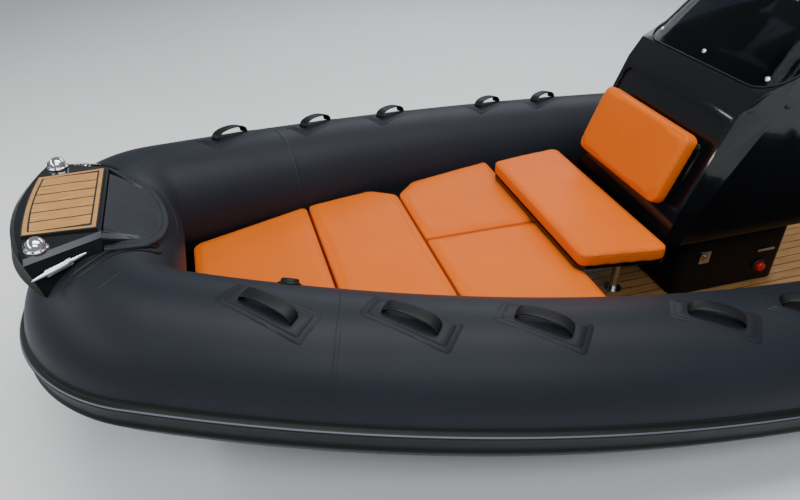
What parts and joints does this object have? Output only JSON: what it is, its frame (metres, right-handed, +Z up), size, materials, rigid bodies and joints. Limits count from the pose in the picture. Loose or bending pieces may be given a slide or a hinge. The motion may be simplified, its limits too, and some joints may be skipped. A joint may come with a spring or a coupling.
{
  "type": "rigid inflatable boat with outboard engine",
  "caption": "Rigid inflatable boat with charcoal tubes, orange bow cushions, black console with smoked windscreen, helm seat, stern bench and tilting outboard engine.",
  "frame": {"origin": "on the waterline at the aft face of the transom, on the centreline", "axes": "+X to the bow, +Y to port, +Z up"},
  "size_m": [7.1343, 2.5576, 2.325],
  "materials": {
    "gelcoat_dark": "gloss black gelcoat",
    "tube_fabric": "matt charcoal coated fabric",
    "strake_rubber": "dark grey rubber",
    "teak": "light teak planks with black seams",
    "vinyl_orange": "orange vinyl",
    "smoked_acrylic": "smoked clear acrylic",
    "black_plastic": "satin black",
    "red_plastic": "satin red",
    "stainless": "brushed stainless steel",
    "chrome": "polished chrome",
    "engine_paint": "gloss dark paint",
    "engine_iron": "cast",
    "propeller_alloy": "painted alloy"
  },
  "bodies": {
    "boat": {"hull": "gelcoat_dark", "transom": "gelcoat_dark", "well_bulkhead": "gelcoat_dark", "bow_base": "gelcoat_dark", "console": "gelcoat_dark", "console_plinth": "gelcoat_dark", "helm_base": "gelcoat_dark", "bench_base": "gelcoat_dark", "bow_step": "gelcoat_dark", "seat_pan": "gelcoat_dark", "tube_bow": "tube_fabric", "tube_port_mid": "tube_fabric", "tube_port_aft": "tube_fabric", "tube_starboard_mid": "tube_fabric", "tube_starboard_aft": "tube_fabric", "tube_cones": "tube_fabric", "rub_strake": "strake_rubber", "grab_handles_port": "strake_rubber", "grab_handles_starboard": "strake_rubber", "bow_tread_pad": "strake_rubber", "deck_planking": "teak", "bow_step_teak": "teak", "cushion_bow_1": "vinyl_orange", "cushion_bow_2": "vinyl_orange", "cushion_mid_port": "vinyl_orange", "cushion_mid_starboard": "vinyl_orange", "backrest_cushion": "vinyl_orange", "helm_cushion": "vinyl_orange", "helm_backrest": "vinyl_orange", "bench_backrest": "vinyl_orange", "windscreen": "smoked_acrylic", "dash_panel": "black_plastic", "throttle": "black_plastic", "plinth_latch": "black_plastic", "battery_switch": "red_plastic", "seat_legs": "stainless", "bow_cleats": "stainless", "bow_tow_eye": "stainless", "stern_eyes": "stainless", "nav_lights": "chrome", "clamp_bracket": "engine_paint"},
    "front_seat": {"seat_lid": "gelcoat_dark", "seat_cushion": "vinyl_orange"},
    "stern_seat": {"bench_lid": "gelcoat_dark", "bench_cushion": "vinyl_orange"},
    "wheel": {"steering_wheel": "black_plastic"},
    "tilt_bracket": {"swivel_bracket": "engine_paint"},
    "engine": {"engine_cowl": "engine_paint", "engine_block": "engine_iron", "outboard_leg": "engine_paint", "lower_unit": "engine_paint"},
    "propeller": {"propeller": "propeller_alloy"}
  },
  "joints": [
    {"name": "seat_lid_hinge", "type": "hinge", "parent": "boat", "child": "front_seat", "pos_m": [3.854, 0, 0.5147], "axis": [0, -1, 0], "range_deg": [0, 50]},
    {"name": "bench_lid_hinge", "type": "hinge", "parent": "boat", "child": "stern_seat", "pos_m": [1.33, 0, 0.4863], "axis": [0, 1, 0], "range_deg": [0, 75]},
    {"name": "wheel_turn", "type": "hinge", "parent": "boat", "child": "wheel", "pos_m": [3.08031, 0, 1.18], "axis": [-0.922, 0, 0.3872], "range_deg": [-540, 540]},
    {"name": "engine_tilt", "type": "hinge", "parent": "boat", "child": "tilt_bracket", "pos_m": [-0.07, 0, 0.33], "axis": [0, 1, 0], "range_deg": [0, 65]},
    {"name": "engine_steer", "type": "hinge", "parent": "tilt_bracket", "child": "engine", "pos_m": [-0.19, 0, 0.2], "axis": [0, 0, 1], "range_deg": [-30, 30]},
    {"name": "propeller_spin", "type": "hinge", "parent": "engine", "child": "propeller", "pos_m": [-0.69, 0, -0.56], "axis": [1, 0, 0], "continuous": true}
  ],
  "couplings": [
    {"joint": "wheel_turn", "follows": "engine_steer", "ratio": 18}
  ]
}
